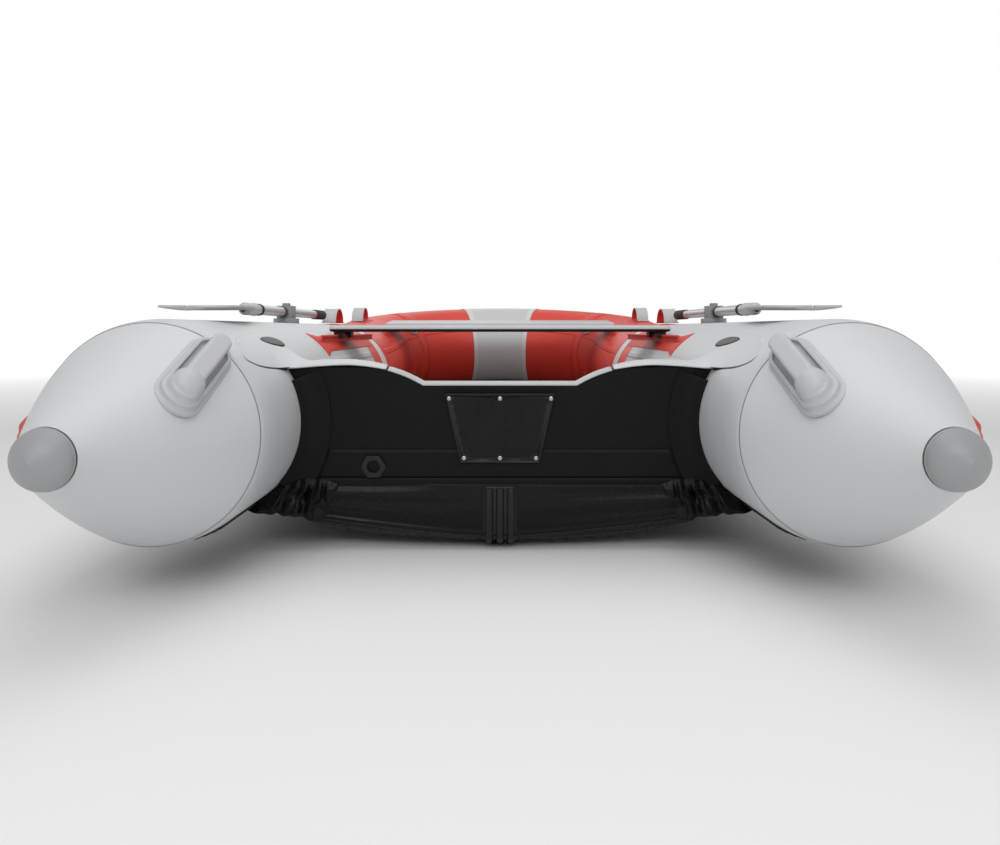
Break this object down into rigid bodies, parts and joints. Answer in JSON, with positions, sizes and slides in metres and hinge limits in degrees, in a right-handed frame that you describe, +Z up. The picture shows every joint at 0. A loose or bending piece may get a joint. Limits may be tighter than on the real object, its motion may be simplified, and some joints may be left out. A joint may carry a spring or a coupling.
{
  "type": "inflatable dinghy",
  "caption": "Inflatable dinghy with tapered stern tubes, raised bow, boarded floor, wooden transom for an outboard, sliding seats and oars on rowlock pins.",
  "frame": {"origin": "on the ground under the middle of the boat, level with the lowest line of the keel strip", "axes": "+Z up, +Y to the bow, +X to starboard"},
  "size_m": [1.7078, 3.2999, 0.597],
  "materials": {
    "grey_tube_fabric": "satin coated fabric",
    "red_tube_fabric": "satin coated fabric",
    "moulded_cap": "moulded, matt",
    "black_hull_fabric": "glossy coated fabric",
    "black_rubber": "ribbed, matt",
    "black_transom": "coated plywood",
    "pale_trim": "smooth",
    "grey_apron_fabric": "satin coated fabric",
    "black_plastic": "moulded, matt",
    "stainless": "polished",
    "floor_aluminium": "ribbed",
    "black_bow_board": "coated plywood",
    "red_rail_fabric": "satin coated fabric",
    "red_rubber": "moulded, satin",
    "seat_paint": "painted",
    "handle_rubber": "moulded, matt",
    "grey_webbing": "woven",
    "grey_plastic": "moulded, matt",
    "oar_aluminium": "anodised",
    "black_grip": "moulded, matt"
  },
  "bodies": {
    "hull": {"port_tube": "grey_tube_fabric", "starboard_tube": "grey_tube_fabric", "bow_tube": "red_tube_fabric", "port_cone": "grey_tube_fabric", "starboard_cone": "grey_tube_fabric", "port_cone_cap": "moulded_cap", "starboard_cone_cap": "moulded_cap", "bottom_skin": "black_hull_fabric", "keel_tube": "black_hull_fabric", "keel_strip": "black_rubber", "transom_board": "black_transom", "transom_trim": "pale_trim", "port_transom_flap": "grey_apron_fabric", "starboard_transom_flap": "grey_apron_fabric", "outer_motor_pad": "black_plastic", "inner_motor_pad": "black_plastic", "motor_pad_screws": "stainless", "drain_flange": "black_plastic", "aft_floor_board": "floor_aluminium", "mid_aft_floor_board": "floor_aluminium", "mid_fore_floor_board": "floor_aluminium", "fore_floor_board": "floor_aluminium", "bow_board": "black_bow_board", "floor_joiners": "floor_aluminium", "side_stringers": "floor_aluminium", "port_aft_rail": "red_rail_fabric", "starboard_aft_rail": "red_rail_fabric", "port_fore_rail": "red_rail_fabric", "starboard_fore_rail": "red_rail_fabric", "rub_strake": "red_rubber", "port_stern_handle": "handle_rubber", "starboard_stern_handle": "handle_rubber", "port_aft_strap": "grey_webbing", "port_fore_strap": "grey_webbing", "starboard_aft_strap": "grey_webbing", "starboard_fore_strap": "grey_webbing", "port_rowlock": "grey_plastic", "starboard_rowlock": "grey_plastic", "port_valve": "grey_plastic", "starboard_valve": "grey_plastic", "stern_wear_patches": "black_rubber", "lashing_patches": "red_rail_fabric"},
    "aft_seat": {"aft_seat_plank": "seat_paint", "aft_seat_clips": "black_plastic"},
    "fore_seat": {"fore_seat_plank": "seat_paint", "fore_seat_clips": "black_plastic"},
    "port_oar": {"port_oar_shaft": "oar_aluminium", "port_oar_blade": "grey_plastic", "port_oar_grip": "black_grip", "port_oar_collar": "grey_plastic"},
    "starboard_oar": {"starboard_oar_shaft": "oar_aluminium", "starboard_oar_blade": "grey_plastic", "starboard_oar_grip": "black_grip", "starboard_oar_collar": "grey_plastic"},
    "plug": {"drain_plug": "black_plastic"},
    "port_cap": {"port_valve_cap": "grey_plastic"},
    "starboard_cap": {"starboard_valve_cap": "grey_plastic"},
    "port_ring": {"port_lashing_ring": "stainless"},
    "starboard_ring": {"starboard_lashing_ring": "stainless"}
  },
  "joints": [
    {"name": "aft_seat_slide", "type": "slide", "parent": "hull", "child": "aft_seat", "axis": [0, 1, 0], "range_m": [-0.18, 0.4]},
    {"name": "fore_seat_slide", "type": "slide", "parent": "hull", "child": "fore_seat", "axis": [0, 0.9974, 0.0725], "range_m": [-0.12, 0]},
    {"name": "port_oar_swing", "type": "hinge", "parent": "hull", "child": "port_oar", "pos_m": [-0.652, -0.33, 0.539], "axis": [0, 0, -1], "range_deg": [0, 110]},
    {"name": "starboard_oar_swing", "type": "hinge", "parent": "hull", "child": "starboard_oar", "pos_m": [0.652, -0.33, 0.539], "axis": [0, 0, 1], "range_deg": [0, 110]},
    {"name": "drain_plug_pull", "type": "slide", "parent": "hull", "child": "plug", "axis": [0, 0.9903, 0.1392], "range_m": [0, 0.04]},
    {"name": "port_valve_turn", "type": "hinge", "parent": "hull", "child": "port_cap", "pos_m": [-0.42154, 1.07514, 0.49095], "axis": [0.5789, -0.5224, 0.6261], "range_deg": [0, 90]},
    {"name": "starboard_valve_turn", "type": "hinge", "parent": "hull", "child": "starboard_cap", "pos_m": [0.42154, 1.07514, 0.49095], "axis": [-0.5789, -0.5224, 0.6261], "range_deg": [0, 90]},
    {"name": "port_ring_swing", "type": "hinge", "parent": "hull", "child": "port_ring", "pos_m": [-0.40365, 1.0302, 0.27468], "axis": [-0.4028, -0.9153, 0], "range_deg": [0, 100]},
    {"name": "starboard_ring_swing", "type": "hinge", "parent": "hull", "child": "starboard_ring", "pos_m": [0.40365, 1.0302, 0.27468], "axis": [-0.4028, 0.9153, 0], "range_deg": [0, 100]}
  ]
}
